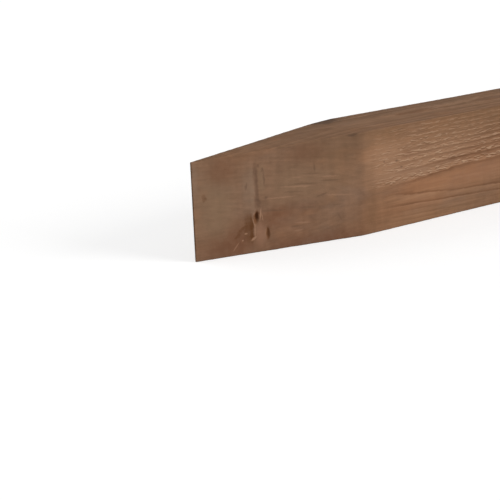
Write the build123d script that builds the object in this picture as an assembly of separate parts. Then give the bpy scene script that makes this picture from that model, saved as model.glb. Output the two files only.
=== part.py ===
from build123d import *
import os

# A sawn softwood fence post, lying on one narrow face as it is stored.
# +X runs from the point to the square butt end, +Z is up, and the origin is
# under the middle of the post, on the surface that it lies on. Millimetres.

# Driving dimensions
section_height = 100.0  # wide faces of the sawn section, front and back
section_width = 75.0  # narrow faces, above and below
length = 1800.0  # overall, from the point to the butt end
arris_radius = 1.5  # wear on the four long edges
front_cut_length = 166.0  # how far along the front face (-Y) its point cut runs
back_cut_length = 176.0  # the cut on the back face (+Y) was started a little further up
tip_width = 2.5  # blunt edge that is left where the two cuts meet
upper_fall = 7.5  # how far the upper face has been trimmed down at the tip

# Worked out from them
tip_x = -length / 2
mid_height = section_height / 2
cut_depth = (section_width - tip_width) / 2


def sawn_bar():
    """The plain bar as it leaves the saw: a rectangle with worn arrises, drawn along X."""
    outline = Plane.YZ * RectangleRounded(section_width, section_height, arris_radius)
    return Pos(tip_x, 0, mid_height) * extrude(outline, amount=length)


def point_cut(side, cut_length):
    """The plane of one long cut of the point, facing away from the wood.

    side is -1 for the front face and +1 for the back face. The plane is upright,
    and runs from the blunt tip to the full width of the post."""
    on_tip = (tip_x, side * tip_width / 2, mid_height)
    outwards = (-cut_depth, side * cut_length, 0)
    return Plane(origin=on_tip, z_dir=outwards)


def upper_trim():
    """The plane of the slight trim above the point, from the tip back to where the long cuts start."""
    on_tip = (tip_x, 0, section_height - upper_fall)
    outwards = (-upper_fall, 0, back_cut_length)
    return Plane(origin=on_tip, z_dir=outwards)


def fence_post():
    """One piece of wood: the bar with two long cuts that leave an upright edge, and the trim above."""
    bar = sawn_bar()
    cuts = [point_cut(-1, front_cut_length), point_cut(1, back_cut_length), upper_trim()]
    for cut in cuts:
        bar = split(bar, bisect_by=cut, keep=Keep.BOTTOM)
    return bar


post = fence_post()
os.makedirs("parts", exist_ok=True)
export_step(post, "parts/post.step")
print("post volume", round(post.volume), "mm3, box", post.bounding_box().size)
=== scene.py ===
import bpy
import math
import numpy as np
from mathutils import Euler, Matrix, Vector


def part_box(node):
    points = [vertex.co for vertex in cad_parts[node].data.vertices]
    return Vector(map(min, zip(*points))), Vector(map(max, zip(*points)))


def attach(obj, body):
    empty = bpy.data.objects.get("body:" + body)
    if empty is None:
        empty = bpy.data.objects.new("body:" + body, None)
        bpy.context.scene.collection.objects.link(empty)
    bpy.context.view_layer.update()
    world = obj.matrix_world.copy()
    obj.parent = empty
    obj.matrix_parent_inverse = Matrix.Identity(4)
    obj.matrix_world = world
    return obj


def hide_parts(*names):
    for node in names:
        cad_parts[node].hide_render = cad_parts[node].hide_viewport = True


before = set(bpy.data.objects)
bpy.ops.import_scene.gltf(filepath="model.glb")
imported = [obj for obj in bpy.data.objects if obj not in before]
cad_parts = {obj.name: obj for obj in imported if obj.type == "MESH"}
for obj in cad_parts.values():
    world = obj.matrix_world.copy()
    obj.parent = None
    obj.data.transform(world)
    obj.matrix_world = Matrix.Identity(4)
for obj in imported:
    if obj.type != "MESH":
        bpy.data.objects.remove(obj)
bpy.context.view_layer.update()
postLow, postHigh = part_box("post")
tipX, buttX = postLow.x, postHigh.x
halfWidth = (postHigh.y - postLow.y) / 2
height = postHigh.z - postLow.z
print("frame loaded, the post is", round(buttX - tipX, 4), "m long")


# A new object in the scene from a mesh, a lamp or a camera
def addObject(name, data):
    thing = bpy.data.objects.new(name, data)
    bpy.context.scene.collection.objects.link(thing)
    return thing


# Slow changes along the post: the wave length in x, y and z, and the seed
drifts = {
    "rings": ((0.22, 0.06, 0.06), 11),
    "uneven": ((0.22, 0.05, 0.05), 21),
    "saw": ((0.010, 0.30, 0.14), 31),
    "ends": ((0.020, 0.012, 0.012), 41),
    "ringShow": ((0.25, 0.06, 0.06), 51),
    "torn": ((0.35, 0.08, 0.08), 61),
}


# A step that eases from 0 to 1 as value goes from low to high: 3t^2 - 2t^3
def ease(value, low, high):
    t = np.clip((value - low) / (high - low), 0, 1)
    return t * t * (3 - 2 * t)


# Smooth wandering noise with a spread of about 1: a sum of sine waves whose directions and
# phases come from a seeded generator
def drift(points, name, waves=9):
    size, seed = drifts[name]
    draw = np.random.default_rng(seed)
    turns = draw.normal(size=(waves, 3)) / np.asarray(size)
    starts = draw.uniform(0, 2 * np.pi, waves)
    return np.sqrt(2 / waves) * np.sin(points @ turns.T * 2 * np.pi + starts).sum(-1)


# The tree that the post was sawn from. The heart runs along the inside of the post and
# branches leave it in whorls. Angle 0 is up, 90 the back, 180 down and 270 the front.
growth = {
    "heart": (0.0025, 0.0369),  # y and z of the heart of the tree at heartX
    "heartX": -0.650,
    "heartFall": 0.0116,  # the heart falls by this much in each metre, as far as fallEnd
    "fallEnd": -0.50,
    "wander": 0.0035,  # how far the heart strays sideways, past the point end
    "wanderFrom": (-0.54, -0.10),  # it sets in from one x to the other
    "wanderWaves": ((4.1, 0.6), (5.3, 2.2)),  # pace and start of its sine waves, in y and in z
    "ringWidth": 0.00316,  # one year's growth
    "ringRadius": 0.04127,  # radius at heartX where year 0 begins
    "taper": 0.0166,  # each ring widens towards the butt by this much in a metre
    "pointYears": (0.88, 1.20),  # near the point, rings to a ring width above the heart and below it
    "pointBlend": 0.008,  # how gradually one goes over into the other
    "unevenFrom": (-0.54, -0.40),  # past the point the growth gets uneven
    "lobes": [(2, 0.022, 0.7, 0), (3, 0.012, 1.1, 0), (5, 0.008, 0, 4.0)],  # number, size, start, twist
    "yearWaves": [(0.45, 0.8, 1.0), (0.22, 1.9, 2.0)],  # size, pace and start, in years
    "waver": (0.06, 0.18),  # how far the rings drift, in years, near the point and past it
    "knotDip": 2.4,  # how many years the rings are pushed aside at a branch
    "knotReach": 1.9,  # how far round it they are, in branch radii
    "lateWidth": 0.0026,  # how wide the dark part of a year looks on a face
    "lateLimits": (0.14, 0.42),  # the least and the most of a year that is dark
    "lateOnButt": 0.35,
    "branchLean": -0.30,  # branches lean towards the point, which was the top of the tree
    "branches": [  # x, angle, radius at the heart, growth of the radius with length
        (-0.822, 84, 0.0016, 0.120),
        (-0.826, 196, 0.0012, 0.060),
        (-0.385, 22, 0.0020, 0.085),
        (-0.392, 118, 0.0022, 0.100),
        (-0.389, 255, 0.0020, 0.110),
        (0.066, 305, 0.0025, 0.085),
        (0.060, 75, 0.0020, 0.095),
        (0.063, 190, 0.0018, 0.090),
        (0.522, 350, 0.0024, 0.095),
        (0.515, 228, 0.0022, 0.080),
        (0.519, 100, 0.0020, 0.105),
    ],
}


# y and z of the heart at each x: a straight falling line, then level, plus two slow sine waves
# past the point end
def heartLine(x):
    stray = ease(x, *growth["wanderFrom"]) * growth["wander"]
    (paceY, startY), (paceZ, startZ) = growth["wanderWaves"]
    fallen = growth["heartFall"] * (np.minimum(x, growth["fallEnd"]) - growth["heartX"])
    y = growth["heart"][0] + stray * np.sin(paceY * x + startY)
    z = growth["heart"][1] - fallen + stray * np.sin(paceZ * x + startZ)
    return y, z


# How far each point is from the nearest branch, in branch radii: the distance from a line that
# leaves the heart at the branch's angle, divided by a radius that grows along it
def branchDistance(points):
    nearest = np.full(points.shape[:-1], np.inf)
    for x, angle, radius, spread in growth["branches"]:
        turn = math.radians(angle)
        way = np.array([growth["branchLean"], math.sin(turn), math.cos(turn)])
        way /= np.linalg.norm(way)
        away = points - np.array([x, *heartLine(x)])
        along = np.clip(away @ way, 0, None)
        aside = np.linalg.norm(away - along[..., None] * way, axis=-1)
        nearest = np.minimum(nearest, aside / (radius + spread * along))
    return nearest


# The number of the growth ring at each point: the distance from the heart, less what the tree
# tapered, in ring widths. Near the point the years are wider above the heart than below it. Past
# it, sine waves of the angle make the rings lobed and sine waves of the number make some years wide
# and some narrow. The number dips round each branch, so that the lines flow round the knot.
def ringNumber(points, knots):
    x, y, z = np.moveaxis(points, -1, 0)
    heartY, heartZ = heartLine(x)
    angle = np.arctan2(y - heartY, z - heartZ)
    uneven = ease(x, *growth["unevenFrom"])
    lobed = sum(size * np.sin(n * angle + start + twist * x) for n, size, start, twist in growth["lobes"])
    radius = np.hypot(y - heartY, z - heartZ) * (1 + uneven * lobed)
    ringStart = growth["ringRadius"] + growth["taper"] * (x - growth["heartX"])
    rings = (radius - ringStart) / growth["ringWidth"]
    above, below = growth["pointYears"]
    closeness = (above + below) / 2 + (below - above) / 2 * np.tanh((heartZ - z) / growth["pointBlend"])
    rings *= 1 + (1 - uneven) * (closeness - 1)
    rings += uneven * sum(size * np.sin(pace * rings + start) for size, pace, start in growth["yearWaves"])
    nearWaver, farWaver = growth["waver"]
    rings += (nearWaver + (farWaver - nearWaver) * uneven) * drift(points, "rings")
    return rings - growth["knotDip"] * np.exp(-((knots / growth["knotReach"]) ** 2))


shape = {
    "frontCut": 0.166,  # how far the point cuts run along the front and back faces
    "backCut": 0.176,
    "tipWidth": 0.0025,
    "tipFall": 0.0075,  # the upper face is trimmed down by this much at the tip
    "arris": 0.0014,  # radius of the long edges
    "tipArris": 0.8,  # the most of half the width that it takes
    "cutWear": 0.00022,  # roundness where a cut meets its face
    "columns": {"front": 80, "top": 26, "back": 34, "bottom": 22, "corner": 3},
    "spacing": {"whorl": 0.00085, "point": 0.00130, "near": 0.00150, "knots": 0.0026, "far": 0.0082},
    "whorlEnds": (-0.862, -0.824),  # the rows are closest here, round the knot holes
    "nearEnd": (-0.55, -0.47),  # the close spacing of the rows opens out between these
    "knotRows": (-0.395, 0.055, 0.510),  # it closes up again round these whorls of knots,
    "knotRowsReach": (0.022, 0.055),  # and opens out between these distances from them
    "rowSamples": 40001,
    "tipRings": 3,
    "buttRings": 22,
    "poleSize": 0.02,  # the smallest ring of an end, as a share of the section
    "sharpAngle": 38,  # degrees: sharper bends are shaded as edges
    "facing": 0.7,  # the least push to a side that counts as that face
    "cutBlend": {"front": (-0.012, 0.020), "back": (-0.004, 0.003), "top": (-0.020, 0.020)},  # round its end
    "trimCut": 0.6,  # how much of a cut's look the trim above the point has
}

# Holes and pits that the front cut laid bare: x, z, half width, half height, depth
pits = {
    "upperHole": (-0.8411, 0.0336, 0.0021, 0.0056, 0.0018),
    "lowerHole": (-0.8307, 0.0174, 0.0017, 0.0059, 0.0010),
    "spike": (-0.8404, 0.0643, 0.0016, 0.0205, 0.0003),
    "lowKnot": (-0.8392, 0.0470, 0.0022, 0.0034, 0.0004),
    "leftChip": (-0.8549, 0.0136, 0.0013, 0.0018, 0.0005),
    "rightChip": (-0.8445, 0.0144, 0.0016, 0.0016, 0.0005),
    "tipSpot": (-0.8901, 0.0578, 0.0016, 0.0030, 0.0003),
}


# The lesser of two values, rounded where they meet: -k log(exp(-a/k) + exp(-b/k))
def softLesser(a, b, k):
    return -k * np.logaddexp(-a / k, -b / k)


# Half the width of the post at x, towards the side whose cut is that long: it grows in a straight
# line from half the tip to half the section
def halfAt(x, cutLength):
    halfTip = shape["tipWidth"] / 2
    line = halfTip + (halfWidth - halfTip) * (x - tipX) / cutLength
    return softLesser(line, halfWidth, shape["cutWear"])


# Once round the section, from the lower front edge up the front face, over the top, down the
# back and under. Each point has a place on the inner rectangle, across -1 to 1 and up 0 to 1,
# and a push outwards: constant on a face, and turning by a quarter circle at each corner.
def sectionProfile():
    count = shape["columns"]
    corners = [(-1, 0), (-1, 1), (1, 1), (1, 0)]  # where each face starts
    parts = []
    for k, face in enumerate(("front", "top", "back", "bottom")):
        t = np.linspace(0, 1, count[face] + 1)
        (ya, za), (yb, zb) = corners[k], corners[(k + 1) % 4]
        facing = math.pi - k * math.pi / 2  # the angle of the face's own push
        parts.append(np.stack([ya + (yb - ya) * t, za + (zb - za) * t, np.full_like(t, facing)], 1))
        bend = np.linspace(0, 1, count["corner"] + 1)[1:-1]
        still = np.ones_like(bend)
        parts.append(np.stack([yb * still, zb * still, facing - bend * math.pi / 2], 1))
    across, up, turn = np.concatenate(parts).T
    return across, up, np.cos(turn), np.sin(turn)


# Where the rows stand along the post: the spacing is a function of x, close at the point and
# round the knots, and the rows are the places where its running sum passes whole numbers
def rowPlaces():
    gaps = shape["spacing"]
    x = np.linspace(tipX, buttX, shape["rowSamples"])
    gap = gaps["near"] + (gaps["far"] - gaps["near"]) * ease(x, *shape["nearEnd"])
    gap = np.where(x < tipX + shape["backCut"], gaps["point"], gap)
    start, stop = shape["whorlEnds"]
    gap = np.where((x > start) & (x < stop), gaps["whorl"], gap)
    for whorl in shape["knotRows"]:
        far = ease(np.abs(x - whorl), *shape["knotRowsReach"])
        gap = np.minimum(gap, gaps["knots"] + (gaps["far"] - gaps["knots"]) * far)
    passed = np.concatenate([[0], np.cumsum(np.diff(x) / gap[:-1])])
    return np.interp(np.linspace(0, passed[-1], int(passed[-1]) + 1), passed, x)


# The plain post: the section carried along X. Over the point its width falls in straight lines to
# the tip and its height a little. The two ends are rows that shrink to a pole at the middle.
def plainPost():
    across, up, pushY, pushZ = sectionProfile()
    rows = rowPlaces()
    tipShrink = np.linspace(shape["poleSize"], 1, shape["tipRings"] + 1)[:-1]
    buttShrink = np.linspace(1, shape["poleSize"], shape["buttRings"] + 1)[1:]
    x = np.concatenate([np.full_like(tipShrink, tipX), rows, np.full_like(buttShrink, buttX)])
    size = np.concatenate([tipShrink, np.ones_like(rows), buttShrink])[:, None]
    end = np.concatenate([-np.ones_like(tipShrink), np.zeros_like(rows), np.ones_like(buttShrink)])
    frontHalf = halfAt(x, shape["frontCut"])
    backHalf = halfAt(x, shape["backCut"])
    half = (frontHalf + backHalf)[:, None] / 2
    middle = (backHalf - frontHalf)[:, None] / 2
    radius = np.minimum(shape["arris"], half * shape["tipArris"])
    trim = np.clip(1 - (x - tipX) / shape["backCut"], 0, 1)
    tall = (height - shape["tipFall"] * trim)[:, None]
    y = middle + across * (half - radius) + pushY * radius
    z = radius + up * (tall - 2 * radius) + pushZ * radius
    grid = np.stack([
        np.broadcast_to(x[:, None], y.shape),
        middle + (y - middle) * size,
        tall / 2 + (z - tall / 2) * size,
    ], -1)
    return grid, end[:, None], pushY, pushZ


# How much each point has the look of a cut, 0 to 1: all of it on the two cuts and the tip and part
# of it on the trim above, easing off where each one ends
def cutShare(x, end, front, top, back):
    blend = shape["cutBlend"]
    fromFront = x - (tipX + shape["frontCut"])
    fromBack = x - (tipX + shape["backCut"])
    share = front * (1 - ease(fromFront, *blend["front"]))
    share += back * (1 - ease(fromBack, *blend["back"]))
    share += shape["trimCut"] * top * (1 - ease(fromBack, *blend["top"]))
    return np.where(end < 0, 1.0, share)


# What the saw, the weather and use took off the plain post
wear = {
    "uneven": 0.00010,  # broad unevenness, and the share of it that comes and goes
    "unevenChange": 0.5,
    "sawWave": 0.00004,  # depth of the marks that the saw left
    "sawRows": (0.002, 0.004),  # they fade out as the gap between two rows grows
    "ringStep": 0.00013,  # how far late wood stands above early wood
    "lateRise": (0.45, 0.90),  # the part of a year over which the wood rises
    "lateBreak": (0.94, 1.00),  # and the part over which it breaks off
    "ringColumns": (0.25, 0.45),  # the steps fade out as the years between two columns grow
    "pitRim": (0.30, 1.20),  # where a pit's floor and its rim end, in half sizes
    "endRough": 0.00025,  # the same for the two ends
    "endChange": 0.7,
    "grimeReach": 0.0026,  # how far the grime of a long edge reaches
    "grimeUpperBack": 3,  # how many times as much the upper back edge has
}

# Knocks on the long edges: the chip where the back cut starts, and dents at drawn places past the
# point, each with its length, its depth and its reach round the edge
knocks = {
    "chip": {"x": -0.7255, "length": 0.009, "deep": 0.0006, "reach": 0.0055},
    "seed": 5,
    "dents": 30,
    "from": -0.45,
    "length": (0.006, 0.016),
    "deep": (0.0002, 0.0008),
    "reach": (0.0020, 0.0042),
}


# How deep each point of the front lies in the pits: each is an ellipse that is deepest in its middle
def pitDepth(grid, front):
    depth = np.zeros(grid.shape[:2])
    for x, z, wide, high, deep in pits.values():
        reach = np.hypot((grid[..., 0] - x) / wide, (grid[..., 2] - z) / high)
        depth += deep * (1 - ease(reach, *wear["pitRim"]))
    return depth * front


# How deep each point lies in one knock: a bell curve along x times one round the edge
def knockDepth(grid, edgeY, edgeZ, x, length, deep, reach):
    away = np.hypot(grid[..., 1] - edgeY, grid[..., 2] - edgeZ)
    return deep * np.exp(-((grid[..., 0] - x) / length) ** 2 - (away / reach) ** 2)


# The chip on the upper back edge and the dents on all four edges, added up
def edgeDents(grid):
    draw = np.random.default_rng(knocks["seed"])
    depth = knockDepth(grid, halfWidth, height, **knocks["chip"])
    for k in range(knocks["dents"]):
        x = draw.uniform(knocks["from"], buttX)
        edgeY = draw.choice([-1.0, 1.0]) * halfWidth
        edgeZ = draw.choice([0.0, 1.0]) * height
        length = draw.uniform(*knocks["length"])
        deep = draw.uniform(*knocks["deep"])
        reach = draw.uniform(*knocks["reach"])
        depth += knockDepth(grid, edgeY, edgeZ, x, length, deep, reach)
    return depth


# Everything that was taken off the long faces, as a depth below the plain post: a broad
# unevenness, upright saw waves, early wood worn below late wood, the pits and the dents
def surfaceWear(grid, rings, ringShow, front):
    depth = wear["uneven"] * (1 + wear["unevenChange"] * drift(grid, "uneven"))
    rowGap = np.gradient(grid[:, 0, 0])[:, None]
    fine = 1 - ease(np.abs(rowGap), *wear["sawRows"])
    depth += wear["sawWave"] * fine * (1 + drift(grid, "saw"))
    ringsPerColumn = np.abs(np.gradient(rings, axis=1))
    late = ease(rings % 1, *wear["lateRise"]) * (1 - ease(rings % 1, *wear["lateBreak"]))
    worn = wear["ringStep"] * (1 - late) * (1 - ease(ringsPerColumn, *wear["ringColumns"]))
    depth += worn * ringShow
    return np.clip(depth + pitDepth(grid, front) + edgeDents(grid), 0, None)


# How much was taken off the two ends: a rough depth that comes and goes
def endWear(grid):
    return np.clip(wear["endRough"] * (1 + wear["endChange"] * drift(grid, "ends")), 0, None)


# How much grime each point of the long faces has: exp(-distance / reach) from the nearest long edge
def edgeGrime(grid, body):
    y, z = grid[..., 1], grid[..., 2]
    cornerY = np.abs(y).max(1, keepdims=True) - np.abs(y)
    cornerZ = np.minimum(z, z.max(1, keepdims=True) - z)
    upperBack = (y > 0) & (z > height / 2)
    times = np.where(upperBack, wear["grimeUpperBack"], 1)
    return np.exp(-np.hypot(cornerY, cornerZ) / wear["grimeReach"]) * body * times


# How plainly the rings show, 0 to 1
showing = {
    "sawn": 0.92,  # on the sawn faces, and how much that changes along them
    "sawnChange": 0.12,
    "top": 0.55,
    "cut": 0.11,
    "butt": 0.85,
    "least": 0.05,
    "start": 0.10,  # the share of it that shows where the front face starts,
    "startEnds": (-0.715, -0.655),  # growing to all of it from one x to the other
    "startLean": 0.15,  # the start leans along the post by this much of the height
    "outerFrom": (-0.30, -0.50),  # towards the point the outer years are fainter on the front,
    "lowYears": (1.05, 1.50),  # below the heart from one year to the other, by lowLess,
    "lowLess": 0.75,
    "outerYears": (4.0, 7.0),  # and everywhere from one to the other, by outerLess
    "outerLess": 0.40,
}

# How much of the surface the saw tore, 0 to 1
tearing = {
    "startEnds": (-0.742, -0.690),  # on the front it sets in from one x to the other,
    "firstYears": (-0.25, 0.10),  # from one year to the other,
    "lastYears": (4.0, 7.0),  # and eases off over these years, by lastLess
    "lastLess": 0.45,
    "patchesFrom": (-0.54, -0.44),  # patches take over from one x to the other,
    "patches": 0.60,  # torn by this much,
    "patchRim": (-0.1, 1.2),  # from one value of the drift to the other,
    "topLess": 0.6,  # and by less on the upper face
}


# How plainly the rings show: faint on the cuts and on the first stretch of the front face
def ringContrast(grid, end, rings, cutFace, front, top):
    x, z = grid[..., 0], grid[..., 2]
    show = showing["sawn"] + showing["sawnChange"] * drift(grid, "ringShow")
    show = np.where(top > 0, showing["top"], show)
    leaning = x + showing["startLean"] * (height / 2 - z)
    onset = showing["start"] + (1 - showing["start"]) * ease(leaning, *showing["startEnds"])
    show = np.where(front > 0, show * onset, show)
    towardsPoint = front * ease(x, *showing["outerFrom"])
    lowOuter = towardsPoint * (z < growth["heart"][1]) * ease(rings, *showing["lowYears"])
    outer = towardsPoint * ease(rings, *showing["outerYears"])
    show = show * (1 - showing["lowLess"] * lowOuter) * (1 - showing["outerLess"] * outer)
    show = show * (1 - cutFace) + showing["cut"] * cutFace
    show = np.where(end > 0, showing["butt"], show)
    return np.clip(show, showing["least"], 1)


# How torn each point is: on the front past the point, most in the first few years above the heart;
# elsewhere in slow patches, fainter ones on the upper face
def tornShare(grid, rings, front, top):
    x, z = grid[..., 0], grid[..., 2]
    near = ease(rings, *tearing["firstYears"])
    near *= 1 - tearing["lastLess"] * ease(rings, *tearing["lastYears"])
    near *= (z > heartLine(x)[1]) * ease(x, *tearing["startEnds"])
    patches = tearing["patches"] * ease(drift(grid, "torn"), *tearing["patchRim"])
    patches *= 1 - tearing["topLess"] * top
    far = np.where(front > 0, ease(x, *tearing["patchesFrom"]), 1.0)
    return near + (patches - near) * far


# The share of a year that is dark, 0 to 1, so that a line keeps its width where a face cuts the
# rings at a low angle: the width of a line times the rings in a metre, measured round the section
def lateShare(grid, rings, end):
    gap = np.linalg.norm(np.gradient(grid, axis=1), axis=-1)
    steep = np.abs(np.gradient(rings, axis=1)) / np.maximum(gap, 1e-6)
    share = np.clip(growth["lateWidth"] * steep, *growth["lateLimits"])
    return np.where(end > 0, growth["lateOnButt"], share)


# Puts a grid of points that is closed all round into a mesh: quads between neighbouring rows and
# columns, and a fan of triangles to a pole at each end
def closedGrid(name, grid):
    rows, columns = grid.shape[:2]
    index = np.arange(rows * columns).reshape(rows, columns)
    beside = np.roll(index, -1, axis=1)
    quads = np.stack([index[:-1], index[1:], beside[1:], beside[:-1]], -1).reshape(-1, 4)
    firstPole, lastPole = rows * columns, rows * columns + 1
    startFan = np.stack([np.full(columns, firstPole), index[0], beside[0]], -1)
    endFan = np.stack([np.full(columns, lastPole), beside[-1], index[-1]], -1)
    points = np.concatenate([grid.reshape(-1, 3), [grid[0].mean(0)], [grid[-1].mean(0)]])
    mesh = bpy.data.meshes.new(name)
    mesh.from_pydata(points.tolist(), [], quads.tolist() + startFan.tolist() + endFan.tolist())
    mesh.polygons.foreach_set("use_smooth", np.ones(len(mesh.polygons), bool))
    mesh.set_sharp_from_angle(angle=math.radians(shape["sharpAngle"]))
    mesh.update()
    return mesh


# Stores one number for each point of the grid and for the two poles, which the finish reads by name
def storeField(mesh, name, values):
    allValues = np.concatenate([values.ravel(), [values[0].mean()], [values[-1].mean()]])
    field = mesh.attributes.new(name, "FLOAT", "POINT")
    field.data.foreach_set("value", allValues.astype(np.float32))


# The post as one mesh: the plain post, pushed inwards by its wear, with the fields for the finish
def sawnPost():
    grid, end, pushY, pushZ = plainPost()
    body = np.broadcast_to(end == 0, grid.shape[:2])
    facing = shape["facing"]
    front = ((pushY < -facing) & body).astype(float)
    top = ((pushZ > facing) & body).astype(float)
    back = ((pushY > facing) & body).astype(float)
    cutFace = cutShare(grid[..., 0], end, front, top, back)

    knots = branchDistance(grid)
    rings = ringNumber(grid, knots)
    ringShow = ringContrast(grid, end, rings, cutFace, front, top)
    fields = {
        "rings": rings,
        "ringShow": ringShow,
        "lateShare": lateShare(grid, rings, end),
        "knots": knots,
        "cutFace": cutFace,
        "topFace": top,
        "endFace": np.broadcast_to((end > 0).astype(float), body.shape),
        "edgeWear": edgeGrime(grid, body),
        "tornShow": tornShare(grid, rings, front, top) * (1 - cutFace) * body,
        "frontFace": front,
    }

    depth = surfaceWear(grid, rings, ringShow, front) * body
    grid[..., 1] -= pushY * depth
    grid[..., 2] -= pushZ * depth
    grid[..., 0] -= end * endWear(grid)

    mesh = closedGrid("sawnPost", grid)
    for name, values in fields.items():
        storeField(mesh, name, values)
    mesh.calc_loop_triangles()
    print("post mesh:", len(mesh.vertices), "points,", len(mesh.loop_triangles), "triangles")
    return addObject("sawnPost", mesh)


# A colour from its three values out of 255, made linear
def paint(red, green, blue):
    share = np.array([red, green, blue]) / 255
    linear = np.where(share <= 0.04045, share / 12.92, ((share + 0.055) / 1.055) ** 2.4)
    return (*linear.tolist(), 1.0)


wood = {
    "sawn": paint(148, 110, 82),
    "pale": paint(163, 126, 98),
    "late": paint(108, 74, 52),
    # the cuts: darker than a sawn face, partly their own tone and partly painted shade for the light that
    # reaches them less
    "cut": paint(131, 100, 78),
    "endGrain": paint(128, 96, 72),
    "warm": paint(146, 104, 74),
    "grey": paint(128, 105, 90),
    "fleck": paint(188, 153, 124),
    "knot": paint(98, 64, 43),
    "knotHalo": paint(120, 80, 55),
    "knotRim": paint(66, 42, 29),
    # the upper face: darker than the front, partly weathering and partly painted shade for the low front
    # light that reaches it less, and greyer towards the back
    "top": paint(130, 98, 74),
    "topBack": paint(118, 91, 70),
    # the dark grey of the patches on the upper edges and of the grime along the long edges
    "edgeDark": paint(76, 60, 50),
    "waver": 0.30,  # how far the ring lines waver, in years, slowly and quickly
    "quiver": 0.24,
    "boldYear": 1.6,  # the lines round this year are the boldest
    "lateEnd": 0.92,  # the part of a year at which its line is darkest
    "lateSharp": 0.75,  # how much of a line is its sharp last part
    "crossCut": 0.06,  # how much the crosscut's lines shade the butt
    "fibreShadowDrop": 0.0011,  # how far a torn fibre is above its own painted shadow
    "fleckShow": 0.78,
    "knotRagged": 0.40,  # how ragged a knot is, in branch radii
    "knotPace": 17.0,  # of the rings in a knot
    "pithShow": 0.70,
    "crackShow": 0.80,
    "roughness": 0.90,
    "gloss": 0.08,
    "bumpDepth": 0.00035,
    "bumpStrength": 0.8,
}

# The grains of the wood: length of a grain in x, y and z, shift, then detail and roughness if special
woodGrains = {
    "waver": ((0.050, 0.008, 0.008), 5.2),
    "quiver": ((0.0090, 0.0030, 0.0030), 3.1),
    "broken": ((0.080, 0.010, 0.010), 7.7),
    "cloud": ((0.060, 0.026, 0.026), 8.1),
    "patch": ((0.090, 0.034, 0.034), 1.3),
    "fibre": ((0.050, 0.0022, 0.0022), 0.0, 4.0, 0.60),
    "fineFibre": ((0.016, 0.0007, 0.0007), 3.7, 3.0, 0.60),
    "streak": ((0.034, 0.0045, 0.0045), 6.1, 1.0),
    "mottle": ((0.0130, 0.0090, 0.0090), 7.3, 4.0, 0.60),
    "sawMark": ((0.0085, 0.080, 0.070), 4.4, 3.0, 0.60),
    "crossCut": ((1.0, 0.040, 0.0016), 2.7, 2.0),
    "dense": ((0.026, 0.009, 0.009), 4.9),
    "tear": ((0.0085, 0.0013, 0.0013), 6.6, 1.0),
    "grit": ((0.0045, 0.0030, 0.0030), 8.8, 2.0),
    "crack": ((0.0065, 0.0012, 0.0012), 0.9, 1.0),
    "blotch": ((0.0060, 0.0040, 0.0060), 2.2, 4.0, 0.65),
    "shake": ((0.0035, 0.0035, 0.0045), 9.4, 2.0, 0.50),
    "tatter": ((0.0100, 0.0026, 0.0026), 5.6, 5.0, 0.70),
}

# Fades of a grain or another value: low, high, and what comes out at each of them
woodFades = {
    "yearShow": (0.0, 1.0, 0.55, 0.90),  # how bold each year's line is
    "boldYears": (2.6, 3.6, 1.0, 0.0),  # in years from boldYear
    "lateSlow": (0.30, 0.92, 0.0, 0.25),  # in parts of a year, as the next three are
    "lateBreak": (0.93, 1.00, 1.0, 0.0),
    "early": (0.05, 0.55, 0.45, 0.0),
    "loose": (0.35, 0.75, 1.0, 0.10),  # early wood tears more than late wood
    "broken": (0.30, 0.60, 0.65, 1.0),  # thin places in the lines
    "topBack": (-0.010, 0.032, 0.0, 1.0),  # in y, across the upper face
    "cloud": (0.45, 0.75, 0.0, 0.50),
    "patch": (0.50, 0.75, 0.0, 0.45),
    "shade": (0.28, 0.72, -1.0, 1.0),
    "dense": (0.34, 0.50, 0.30, 1.0),
    # the painted shadow below each torn fibre
    "gap": (0.50, 0.59, 0.0, 0.90),
    "torn": (0.50, 0.60, 0.0, 1.0),
    "knotHalo": (0.90, 2.30, 0.50, 0.0),  # in branch radii, as the next three are
    "inKnot": (0.80, 1.06, 1.0, 0.0),
    "barkStart": (0.80, 0.98, 0.0, 1.0),
    "barkEnd": (1.00, 1.22, 1.0, 0.0),
    "barkBroken": (0.40, 0.60, 0.75, 0.25),
    "knotRings": (-1.0, 1.0, 0.60, 0.95),
    "crack": (0.55, 0.66, 0.0, 0.55),
    "frayed": (0.38, 0.62, 1.0, 0.60),
    "edgeDark": (0.40, 0.65, 0.0, 0.22),
}

# How much each grain lightens and darkens the wood, on a sawn face and on a cut
woodShades = {
    "fibre": (0.11, 0.035),
    "fineFibre": (0.055, 0.05),
    "streak": (0.06, 0.06),
    "mottle": (0.04, 0.07),
    "sawMark": (0.02, 0.04),
}

# How high each thing stands in the relief, and the share of the fibres on a cut
relief = {"fibre": 0.55, "fineFibre": 0.30, "late": 0.50, "torn": 0.50, "sawMark": 0.25, "onCut": 0.25}
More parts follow.
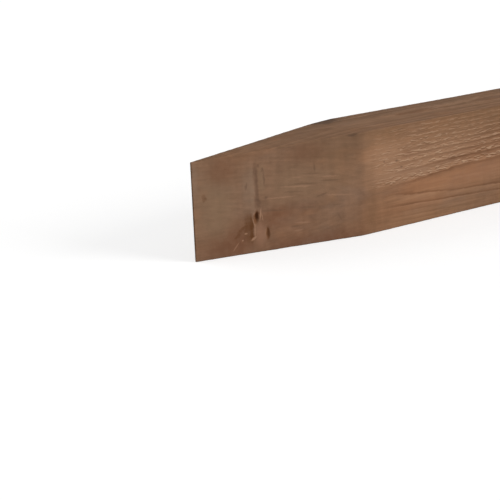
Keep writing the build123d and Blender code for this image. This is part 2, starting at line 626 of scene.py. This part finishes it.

# Stains and scars on the front, with a painted highlight and painted shade where the front cut meets the
# face, by
# tone: the colour, how soft the rim is, how much the grain breaks it up, and the marks of that tone as x, z,
# half width, half height, lean in degrees and strength
frontMarks = {
    "olive": (paint(136, 110, 86), 0.8, 0.3, [
        (-0.8790, 0.0500, 0.0170, 0.0340, 0, 0.60),
        (-0.8350, 0.0690, 0.0030, 0.0110, 0, 0.60),
        (-0.8020, 0.0580, 0.0260, 0.0170, 0, 0.40),
        (-0.7600, 0.0640, 0.0220, 0.0220, 0, 0.30),
    ]),
    "tan": (paint(158, 123, 97), 0.7, 0.3, [
        (-0.7080, 0.0680, 0.0190, 0.0190, -20, 0.34),
        (-0.6800, 0.0540, 0.0360, 0.0075, -3, 0.45),
        (-0.6300, 0.0680, 0.0500, 0.0080, -3, 0.40),
        (-0.6860, 0.0770, 0.0300, 0.0130, -3, 0.28),
        (-0.6150, 0.0790, 0.0360, 0.0100, -3, 0.22),
        # a painted highlight on the lower end of the front cut, by the bend into the front face, where the
        # lamp leaves it in shade
        (-0.7460, 0.0260, 0.0080, 0.0240, 0, 0.32),
    ]),
    "mauve": (paint(142, 117, 97), 0.7, 0.4, [
        (-0.8480, 0.0620, 0.0056, 0.0160, 0, 0.50),
        (-0.8440, 0.0590, 0.0024, 0.0200, 0, 0.45),
        (-0.8985, 0.0760, 0.0030, 0.0150, 0, 0.45),
    ]),
    "pink": (paint(153, 115, 92), 0.5, 0.2, [
        (-0.8378, 0.0175, 0.0056, 0.0105, 0, 0.70),
    ]),
    "orange": (paint(156, 108, 77), 0.8, 0.3, [
        (-0.5950, 0.0370, 0.0460, 0.0095, -3, 0.50),
        (-0.6600, 0.0370, 0.0300, 0.0080, -3, 0.35),
        (-0.6500, 0.0200, 0.0360, 0.0060, -3, 0.35),
    ]),
    "red": (paint(114, 76, 55), 0.8, 0.4, [
        (-0.7640, 0.0020, 0.0280, 0.0080, 0, 0.75),
        (-0.8100, 0.0020, 0.0260, 0.0100, 0, 0.65),
        (-0.8690, 0.0090, 0.0280, 0.0130, 0, 0.75),
        (-0.8570, 0.0200, 0.0110, 0.0140, 0, 0.55),
        (-0.8730, 0.0810, 0.0130, 0.0120, 0, 0.60),
        (-0.8130, 0.0365, 0.0280, 0.0050, 0, 0.30),
        (-0.8060, 0.0270, 0.0300, 0.0190, 0, 0.25),
        (-0.8250, 0.0290, 0.0130, 0.0080, 0, 0.55),
        (-0.7900, 0.0880, 0.0180, 0.0080, 0, 0.40),
        (-0.7180, 0.0160, 0.0340, 0.0280, 0, 0.34),
        (-0.5400, 0.0300, 0.0500, 0.0500, 0, 0.25),
        (-0.6790, 0.0705, 0.0050, 0.0030, 0, 0.40),
    ]),
    "umber": (paint(106, 80, 57), 0.9, 0.3, [
        (-0.5300, 0.1060, 0.1300, 0.0270, 0, 0.62),
        (-0.7120, 0.1000, 0.0320, 0.0140, 0, 0.40),
        (-0.7660, 0.0880, 0.0300, 0.0140, 0, 0.30),
        (-0.7180, 0.0130, 0.0200, 0.0260, 0, 0.18),
        # painted shade on the lower front face just past the bend from the front cut
        (-0.7240, 0.0200, 0.0060, 0.0240, 0, 0.26),
        (-0.5800, 0.0020, 0.0900, 0.0220, 0, 0.38),
    ]),
    "brown": (paint(98, 63, 38), 0.4, 0.5, [
        (-0.8462, 0.0230, 0.0019, 0.0120, 0, 1.00),
        (-0.8490, 0.0250, 0.0042, 0.0130, 0, 0.75),
        (-0.8560, 0.0240, 0.0050, 0.0014, -35, 0.60),
        (-0.8590, 0.0190, 0.0060, 0.0012, -42, 0.50),
        (-0.8900, 0.0578, 0.0018, 0.0034, 0, 0.55),
    ]),
    "stripe": (paint(106, 80, 64), 0.6, 0.5, [
        (-0.8408, 0.0740, 0.0019, 0.0110, 0, 0.70),
        (-0.8400, 0.0580, 0.0019, 0.0140, 0, 0.55),
        (-0.8395, 0.0475, 0.0026, 0.0042, 0, 0.75),
        (-0.8501, 0.0634, 0.0009, 0.0034, 10, 0.60),
        (-0.8378, 0.0812, 0.0013, 0.0014, 0, 0.80),
        (-0.8341, 0.0770, 0.0012, 0.0018, 0, 0.80),
        (-0.8325, 0.0690, 0.0008, 0.0070, -4, 0.60),
        (-0.8313, 0.0505, 0.0013, 0.0014, 0, 0.85),
        (-0.7080, 0.0674, 0.0012, 0.0009, 0, 0.80),
        (-0.6930, 0.0660, 0.0014, 0.0009, 0, 0.80),
        (-0.6860, 0.0589, 0.0014, 0.0010, 0, 0.80),
    ]),
    "scratch": (paint(106, 81, 63), 0.5, 0.3, [
        (-0.7910, 0.0586, 0.0144, 0.0007, 5, 0.55),
        (-0.8044, 0.0527, 0.0088, 0.0008, 5, 0.55),
        (-0.7829, 0.0729, 0.0008, 0.0042, -6, 0.60),
        (-0.7863, 0.0674, 0.0099, 0.0007, 5, 0.50),
        (-0.7665, 0.0587, 0.0101, 0.0007, 4, 0.55),
        (-0.7759, 0.0461, 0.0058, 0.0009, -13, 0.60),
        (-0.7901, 0.0359, 0.0061, 0.0009, 4, 0.50),
        (-0.8252, 0.0379, 0.0104, 0.0010, 6, 0.50),
        (-0.8017, 0.0198, 0.0061, 0.0010, 0, 0.55),
        (-0.7611, 0.0345, 0.0051, 0.0008, 4, 0.50),
        (-0.7586, 0.0224, 0.0008, 0.0034, -29, 0.45),
        (-0.8118, 0.0950, 0.0084, 0.0008, 2, 0.50),
    ]),
    "splinter": (paint(166, 128, 102), 0.45, 0.2, [
        (-0.8372, 0.0360, 0.0006, 0.0050, 8, 0.75),
        (-0.8355, 0.0330, 0.0005, 0.0034, -10, 0.55),
        (-0.8440, 0.0296, 0.0007, 0.0036, -18, 0.65),
        (-0.8519, 0.0198, 0.0014, 0.0008, 0, 0.75),
        (-0.8549, 0.0136, 0.0008, 0.0008, 0, 0.75),
        (-0.8445, 0.0140, 0.0030, 0.0010, -30, 0.80),
        (-0.8430, 0.0215, 0.0006, 0.0060, 0, 0.60),
        (-0.8620, 0.0085, 0.0046, 0.0006, -50, 0.45),
        (-0.8014, 0.0572, 0.0159, 0.0007, 5, 0.45),
        (-0.8182, 0.0490, 0.0147, 0.0007, 2, 0.40),
        (-0.7967, 0.0224, 0.0078, 0.0008, 5, 0.40),
        (-0.7681, 0.0626, 0.0084, 0.0008, 6, 0.40),
        (-0.7585, 0.0436, 0.0130, 0.0007, 7, 0.35),
        (-0.8002, 0.0658, 0.0050, 0.0007, 5, 0.35),
        (-0.8002, 0.0155, 0.0045, 0.0007, 0, 0.35),
    ]),
    "hole": (paint(104, 67, 41), 0.40, 0.1, [
        (-0.8413, 0.0334, 0.0027, 0.0060, 6, 0.95),
        (-0.8307, 0.0174, 0.0019, 0.0060, 0, 0.85),
    ]),
    "core": (paint(80, 48, 28), 0.50, 0.1, [
        (-0.8404, 0.0352, 0.0013, 0.0036, 0, 0.90),
        (-0.8304, 0.0180, 0.0010, 0.0036, 0, 0.25),
    ]),
}

# Dark grey patches on the upper edges: x, y, z, size in x, y and z, strength, and how ragged it is
edgeMarks = [
    (-0.7250, 0.0335, 0.1000, 0.0160, 0.0130, 0.0080, 1.00, 0.50),
    (-0.7440, -0.0350, 0.0990, 0.0070, 0.0022, 0.0016, 0.60, 0.10),
]

# Drying cracks in the butt end: direction in degrees, from the back upwards, distance from the heart,
# length, half width
endCracks = [
    (74, 0.0010, 0.0260, 0.00050),
    (168, 0.0020, 0.0190, 0.00045),
    (231, 0.0015, 0.0120, 0.00040),
    (318, 0.0060, 0.0150, 0.00040),
    (113, 0.0270, 0.0160, 0.00045),
    (27, 0.0140, 0.0120, 0.00035),
]

# How the rims of all these marks are made
rims = {
    "depth": 0.012,  # how far a mark on the front goes into the wood
    "hold": (0.30, 0.62),  # where blotches break a mark up
    "shake": (0.0032, 0.0032, 0.0048),  # how far noise moves a rim, in x, y and z
    "calm": 0.30,  # the share of it that thin marks have
    "thinTones": ("scratch", "splinter"),
    "tatter": (0.080, 0.044, 0.030),  # the same for the dark patches on the upper edges
    "edgeSoft": 0.3,
    "pithSize": (0.004, 0.0017, 0.0017),
    "pithSoft": 0.4,
    "crackDepth": 0.02,
    "crackSoft": 0.5,
}


# A small hand for the nodes of a material or world: each call gives back the socket that it ends
# in. The sockets of a mix node go by number: 4 and 5 take vectors, 6 and 7 take colours.
class NodeHand:
    def __init__(self, owner):
        owner.use_nodes = True
        self.tree = owner.node_tree
        self.tree.nodes.clear()

    def close(self, kind, surface):
        self.tree.links.new(surface, self.tree.nodes.new(kind).inputs[0])

    def add(self, kind, feeds, output=0, **settings):
        node = self.tree.nodes.new(kind)
        for name, value in settings.items():
            setattr(node, name, value)
        for socket, value in feeds.items():
            if isinstance(value, bpy.types.NodeSocket):
                self.tree.links.new(value, node.inputs[socket])
            else:
                node.inputs[socket].default_value = value
        return node.outputs[output]

    def field(self, name):
        return self.add("ShaderNodeAttribute", {}, "Fac", attribute_name=name)

    def calc(self, operation, *values):
        return self.add("ShaderNodeMath", dict(enumerate(values)), operation=operation)

    def vector(self, operation, *values, output="Vector"):
        return self.add("ShaderNodeVectorMath", dict(enumerate(values)), output, operation=operation)

    def times(self, first, *others):
        for other in others:
            first = self.calc("MULTIPLY", first, other)
        return first

    # eases from bottom to top as value goes from low to high
    def fade(self, value, low, high, bottom=0.0, top=1.0):
        feeds = {0: value, 1: low, 2: high, 3: bottom, 4: top}
        return self.add("ShaderNodeMapRange", feeds, interpolation_type="SMOOTHSTEP")

    def tint(self, amount, under, over, blend="MIX"):
        feeds = {0: amount, 6: under, 7: over}
        return self.add("ShaderNodeMix", feeds, 2, data_type="RGBA", blend_type=blend)

    def shade(self, colour, amount):
        grey = self.add("ShaderNodeCombineColor", {0: amount, 1: amount, 2: amount})
        return self.tint(1.0, colour, grey, "MULTIPLY")

    # noise whose grains are stretched: size is the length of a grain in x, y and z
    def noise(self, place, size, shift, detail=3.0, rough=0.55, output="Fac"):
        feeds = {"Vector": place, "Location": (shift, shift, shift), "Scale": [1 / s for s in size]}
        moved = self.add("ShaderNodeMapping", feeds)
        feeds = {"Vector": moved, "Scale": 1.0, "Detail": detail, "Roughness": rough}
        return self.add("ShaderNodeTexNoise", feeds, output)

    # noise from 0 to 1 as a sway about 0 that is this wide
    def sway(self, noise, wide):
        return self.calc("MULTIPLY_ADD", noise, wide, -wide / 2)

    # the place, moved by coloured noise in a box that is this wide in x, y and z
    def shaken(self, place, noise, wide):
        sway = self.vector("MULTIPLY_ADD", noise, wide, [-w / 2 for w in wide])
        return self.vector("ADD", place, sway)

    def between(self, share, first, second):
        return self.add("ShaderNodeMix", {0: share, 4: first, 5: second}, 1, data_type="VECTOR")

    # 1 in the middle of a mark and 0 outside: the length of the way from its centre, measured along
    # its own three axes in half sizes. turn is the angle about X, Y and Z.
    def mark(self, place, centre, size, soft, turn=(0, 0, 0)):
        away = self.vector("SUBTRACT", place, centre)
        if any(turn):
            axes = zip(Euler(turn).to_matrix().col, size)
            steps = [self.vector("DOT_PRODUCT", away, axis / half, output="Value") for axis, half in axes]
            away = self.add("ShaderNodeCombineXYZ", dict(enumerate(steps)))
        else:
            away = self.vector("DIVIDE", away, size)
        return self.fade(self.vector("LENGTH", away, output="Value"), 1 - soft, 1 + soft, 1.0, 0.0)

    # a grain of the wood, a fade, a grain with its own fade and a tone over a colour, all by name
    def grain(self, place, name, output="Fac"):
        return self.noise(place, *woodGrains[name], output=output)

    def faded(self, value, name):
        return self.fade(value, *woodFades[name])

    def fadedGrain(self, place, name):
        return self.faded(self.grain(place, name), name)

    def stain(self, amount, colour, name):
        return self.tint(amount, colour, wood[name])


# The part of its year that each point is in, 0 to 1, and how dark its late line is there: it
# darkens slowly, then sharply over the late share, and breaks off where the next year starts
def ringLines(hand, place):
    waver = hand.sway(hand.grain(place, "waver"), wood["waver"])
    quiver = hand.sway(hand.grain(place, "quiver"), wood["quiver"])
    rings = hand.calc("ADD", hand.calc("ADD", hand.field("rings"), waver), quiver)
    part = hand.calc("FRACT", rings)
    year = hand.calc("FLOOR", rings)
    yearDraw = hand.add("ShaderNodeTexWhiteNoise", {"W": year}, noise_dimensions="1D")
    yearShow = hand.faded(yearDraw, "yearShow")
    fromBold = hand.calc("ABSOLUTE", hand.calc("SUBTRACT", rings, wood["boldYear"]))
    yearShow = hand.calc("MAXIMUM", yearShow, hand.faded(fromBold, "boldYears"))
    lateEnd = wood["lateEnd"]
    lateStart = hand.calc("SUBTRACT", lateEnd, hand.field("lateShare"))
    line = hand.faded(part, "lateSlow")
    line = hand.calc("MULTIPLY_ADD", hand.fade(part, lateStart, lateEnd), wood["lateSharp"], line)
    line = hand.times(line, hand.faded(part, "lateBreak"), yearShow)
    broken = hand.fadedGrain(place, "broken")
    return part, hand.times(line, broken, hand.field("ringShow"))


# The colour of each face, darker on the cuts and the upper face partly by painted shade, with slow warm and
# grey stains, pale early wood and dark late lines
def groundColour(hand, place, cutFace, part, late):
    # the cuts take their darker tone, which is partly painted shade
    colour = hand.tint(cutFace, wood["sawn"], wood["cut"])
    across = hand.add("ShaderNodeSeparateXYZ", {0: place}, "Y")
    # the upper face's darker tone, partly weathering and partly painted shade, greyer towards the back
    topToneAndShade = hand.tint(hand.faded(across, "topBack"), wood["top"], wood["topBack"])
    colour = hand.tint(hand.field("topFace"), colour, topToneAndShade)
    colour = hand.stain(hand.field("endFace"), colour, "endGrain")
    for name, tone in (("cloud", "warm"), ("patch", "grey")):
        colour = hand.stain(hand.fadedGrain(place, name), colour, tone)
    early = hand.times(hand.faded(part, "early"), hand.field("ringShow"))
    colour = hand.stain(early, colour, "pale")
    return hand.stain(late, colour, "late")


# Fibres, streaks, mottle and upright saw marks make the wood lighter and darker, and on the butt
# the lines of the crosscut. The grains go back too, for what else is made of them.
def grainShade(hand, place, cutFace, colour):
    grains = {name: hand.grain(place, name) for name in woodShades}
    shade = 1.0
    for name, (onFace, onCut) in woodShades.items():
        spread = hand.fade(cutFace, 0.0, 1.0, onFace, onCut)
        shade = hand.calc("MULTIPLY_ADD", hand.faded(grains[name], "shade"), spread, shade)
    crossCut = hand.faded(hand.grain(place, "crossCut"), "shade")
    spread = hand.times(hand.field("endFace"), wood["crossCut"])
    shade = hand.calc("MULTIPLY_ADD", crossCut, spread, shade)
    return hand.shade(colour, shade), grains


# Torn fibres stand out pale, in patches, and each has a painted shadow below it
def tornFibres(hand, place, part, colour):
    dense = hand.fadedGrain(place, "dense")
    loose = hand.times(hand.field("tornShow"), dense, hand.faded(part, "loose"))
    above = hand.vector("ADD", place, (0, 0, wood["fibreShadowDrop"]))
    # a painted shadow: the torn fibres again, moved down, in the late wood's colour
    gap = hand.times(hand.faded(hand.grain(above, "tear"), "gap"), loose)
    colour = hand.stain(gap, colour, "late")
    torn = hand.times(hand.faded(hand.grain(place, "tear"), "torn"), loose)
    colour = hand.stain(hand.times(torn, wood["fleckShow"]), colour, "fleck")
    return colour, torn


# Knots: dark wood with rings and cracks of its own, a broken dark rim and reddish wood round it
def knotWood(hand, place, colour):
    grit = hand.grain(place, "grit")
    knots = hand.calc("ADD", hand.field("knots"), hand.sway(grit, wood["knotRagged"]))
    colour = hand.stain(hand.faded(knots, "knotHalo"), colour, "knotHalo")
    inKnot = hand.faded(knots, "inKnot")
    knotRings = hand.faded(hand.calc("SINE", hand.times(knots, wood["knotPace"])), "knotRings")
    colour = hand.stain(hand.times(inKnot, knotRings), colour, "knot")
    crack = hand.times(hand.fadedGrain(place, "crack"), inKnot)
    bark = hand.times(hand.faded(knots, "barkStart"), hand.faded(knots, "barkEnd"))
    bark = hand.times(bark, hand.faded(grit, "barkBroken"))
    return hand.stain(hand.calc("MAXIMUM", bark, crack), colour, "knotRim")


# The marks on the front, painted light and shade among them, each measured from a place that noise has
# shaken, so that its rim is ragged
def frontStainsAndPaintedLight(hand, place, ragged, calm, colour):
    blotch = hand.grain(place, "blotch")
    onFront = hand.field("frontFace")
    for name, (tone, soft, breaks, marks) in frontMarks.items():
        hold = hand.fade(blotch, *rims["hold"], 1 - breaks, 1.0)
        rim = calm if name in rims["thinTones"] else ragged
        for x, z, wide, high, lean, strength in marks:
            centre = (x, -float(halfAt(x, shape["frontCut"])), z)
            turn = (0, math.radians(lean), 0)
            show = hand.mark(rim, centre, (wide, rims["depth"], high), soft, turn)
            colour = hand.tint(hand.times(show, hold, strength, onFront), colour, tone)
    return colour


# The pith on the butt end and the drying cracks round it
def buttCracks(hand, calm, colour):
    heartY, heartZ = [float(value) for value in heartLine(buttX)]
    pith = hand.mark(calm, (buttX, heartY, heartZ), rims["pithSize"], rims["pithSoft"])
    colour = hand.stain(hand.times(pith, wood["pithShow"]), colour, "knotRim")
    onButt = hand.times(hand.field("endFace"), wood["crackShow"])
    for angle, start, length, wide in endCracks:
        turn = math.radians(angle)
        middle = start + length / 2
        centre = (buttX, heartY + middle * math.cos(turn), heartZ + middle * math.sin(turn))
        size = (rims["crackDepth"], length / 2, wide)
        show = hand.mark(calm, centre, size, rims["crackSoft"], (turn, 0, 0))
        colour = hand.stain(hand.times(show, onButt), colour, "knotRim")
    return colour


# The dark grey patches on the upper edges, with tattered rims, and a little grime along all the long edges
def edgeDarkening(hand, place, fibre, colour):
    tattered = hand.shaken(place, hand.grain(place, "tatter", "Color"), rims["tatter"])
    frayed = hand.faded(fibre, "frayed")
    for x, y, z, wide, deep, high, strength, rough in edgeMarks:
        rim = hand.between(rough, place, tattered)
        show = hand.mark(rim, (x, y, z), (wide, deep, high), rims["edgeSoft"])
        colour = hand.stain(hand.times(show, frayed, strength), colour, "edgeDark")
    edgeDark = hand.times(hand.field("edgeWear"), hand.faded(fibre, "edgeDark"))
    return hand.stain(edgeDark, colour, "edgeDark")


# The fine relief as a height: fibres, lower on the cuts, then late lines, torn fibres and saw marks
def fineRelief(hand, cutFace, grains, late, torn):
    fineFibre = hand.times(grains["fineFibre"], relief["fineFibre"])
    high = hand.calc("MULTIPLY_ADD", grains["fibre"], relief["fibre"], fineFibre)
    high = hand.times(high, hand.fade(cutFace, 0.0, 1.0, 1.0, relief["onCut"]))
    high = hand.calc("MULTIPLY_ADD", late, relief["late"], high)
    high = hand.calc("MULTIPLY_ADD", torn, relief["torn"], high)
    return hand.calc("MULTIPLY_ADD", grains["sawMark"], relief["sawMark"], high)


# Brown softwood, rough sawn: the rings on the ground colour, then the grains, the knots and the marks
def woodFinish():
    material = bpy.data.materials.new("brownSoftwood")
    hand = NodeHand(material)
    place = hand.add("ShaderNodeTexCoord", {}, "Object")
    cutFace = hand.field("cutFace")
    part, late = ringLines(hand, place)
    colour = groundColour(hand, place, cutFace, part, late)
    colour, grains = grainShade(hand, place, cutFace, colour)
    colour, torn = tornFibres(hand, place, part, colour)
    colour = knotWood(hand, place, colour)

    ragged = hand.shaken(place, hand.grain(place, "shake", "Color"), rims["shake"])
    calm = hand.between(rims["calm"], place, ragged)
    colour = frontStainsAndPaintedLight(hand, place, ragged, calm, colour)
    colour = buttCracks(hand, calm, colour)
    colour = edgeDarkening(hand, place, grains["fibre"], colour)

    bump = hand.add("ShaderNodeBump", {
        "Height": fineRelief(hand, cutFace, grains, late, torn),
        "Strength": wood["bumpStrength"],
        "Distance": wood["bumpDepth"],
    })
    surface = hand.add("ShaderNodeBsdfPrincipled", {
        "Base Color": colour,
        "Roughness": wood["roughness"],
        "Specular IOR Level": wood["gloss"],
        "Normal": bump,
    })
    hand.close("ShaderNodeOutputMaterial", surface)
    print("wood finish:", len(hand.tree.nodes), "nodes")
    return material


post = sawnPost()
post.data.materials.append(woodFinish())
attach(post, "root")
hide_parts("post")
print("post finished and riding on root")


stage = {
    "floorSize": 40.0,
    "floorColour": 0.50,
    "floorGlow": 0.66,  # what the camera sees on top of the light, so that the floor is white
    "skyLight": 0.35,
    "key": {"from": (0.545, -0.779, 0.309), "angle": 36, "strength": 2.6},
    "fill": {"from": (-0.50, 0.80, 0.45), "angle": 60, "strength": 1.1},
}
white = (1, 1, 1, 1)


# 1 for the rays that show the background: straight to the camera, in a gloss or through glass
def seenRay(hand):
    path = hand.tree.nodes.new("ShaderNodeLightPath").outputs
    gloss = hand.calc("MAXIMUM", path["Is Glossy Ray"], path["Is Transmission Ray"])
    return hand.calc("MAXIMUM", path["Is Camera Ray"], gloss)


# A wide floor at z = 0 that takes the post's shadow and still comes out white to the camera
def whiteFloor():
    half = stage["floorSize"] / 2
    corners = [(-half, -half, 0), (half, -half, 0), (half, half, 0), (-half, half, 0)]
    mesh = bpy.data.meshes.new("floor")
    mesh.from_pydata(corners, [], [(0, 1, 2, 3)])
    material = bpy.data.materials.new("whiteFloor")
    hand = NodeHand(material)
    grey = stage["floorColour"]
    matt = hand.add("ShaderNodeBsdfDiffuse", {"Color": (grey, grey, grey, 1)})
    seen = hand.times(seenRay(hand), stage["floorGlow"])
    glow = hand.add("ShaderNodeEmission", {"Color": white, "Strength": seen})
    both = hand.add("ShaderNodeAddShader", {0: matt, 1: glow})
    hand.close("ShaderNodeOutputMaterial", both)
    mesh.materials.append(material)
    floor = addObject("floor", mesh)


# A sky that is white to the camera and gives the post less light than that
def whiteSky():
    world = bpy.data.worlds.new("whiteSky")
    hand = NodeHand(world)
    strength = hand.fade(seenRay(hand), 0.0, 1.0, stage["skyLight"], 1.0)
    sky = hand.add("ShaderNodeBackground", {"Color": white, "Strength": strength})
    hand.close("ShaderNodeOutputWorld", sky)
    bpy.context.scene.world = world


# A wide soft sun: it lights the floor evenly, so that the background has no falloff
def softSun(name):
    setting = stage[name]
    light = bpy.data.lights.new(name, "SUN")
    light.angle = math.radians(setting["angle"])
    light.energy = setting["strength"]
    lamp = addObject(name, light)
    lamp.rotation_euler = Vector(setting["from"]).to_track_quat("Z", "Y").to_euler()


whiteFloor()
whiteSky()
softSun("key")
softSun("fill")
print("floor, sky and lamps set")


photoView = {
    "at": (-1.5429, -1.0172, 0.3552),
    "turn": (73.935, 2.413, -35.328),  # degrees
    "lens": 99.95,  # millimetres, as the sensor is
    "sensor": 36,
}
cameraData = bpy.data.cameras.new("photoView")
cameraData.lens = photoView["lens"]
cameraData.sensor_width = photoView["sensor"]
camera = addObject("photoView", cameraData)
camera.location = photoView["at"]
camera.rotation_euler = [math.radians(angle) for angle in photoView["turn"]]
bpy.context.scene.camera = camera
bpy.context.scene.view_settings.view_transform = "Standard"
print("camera set")
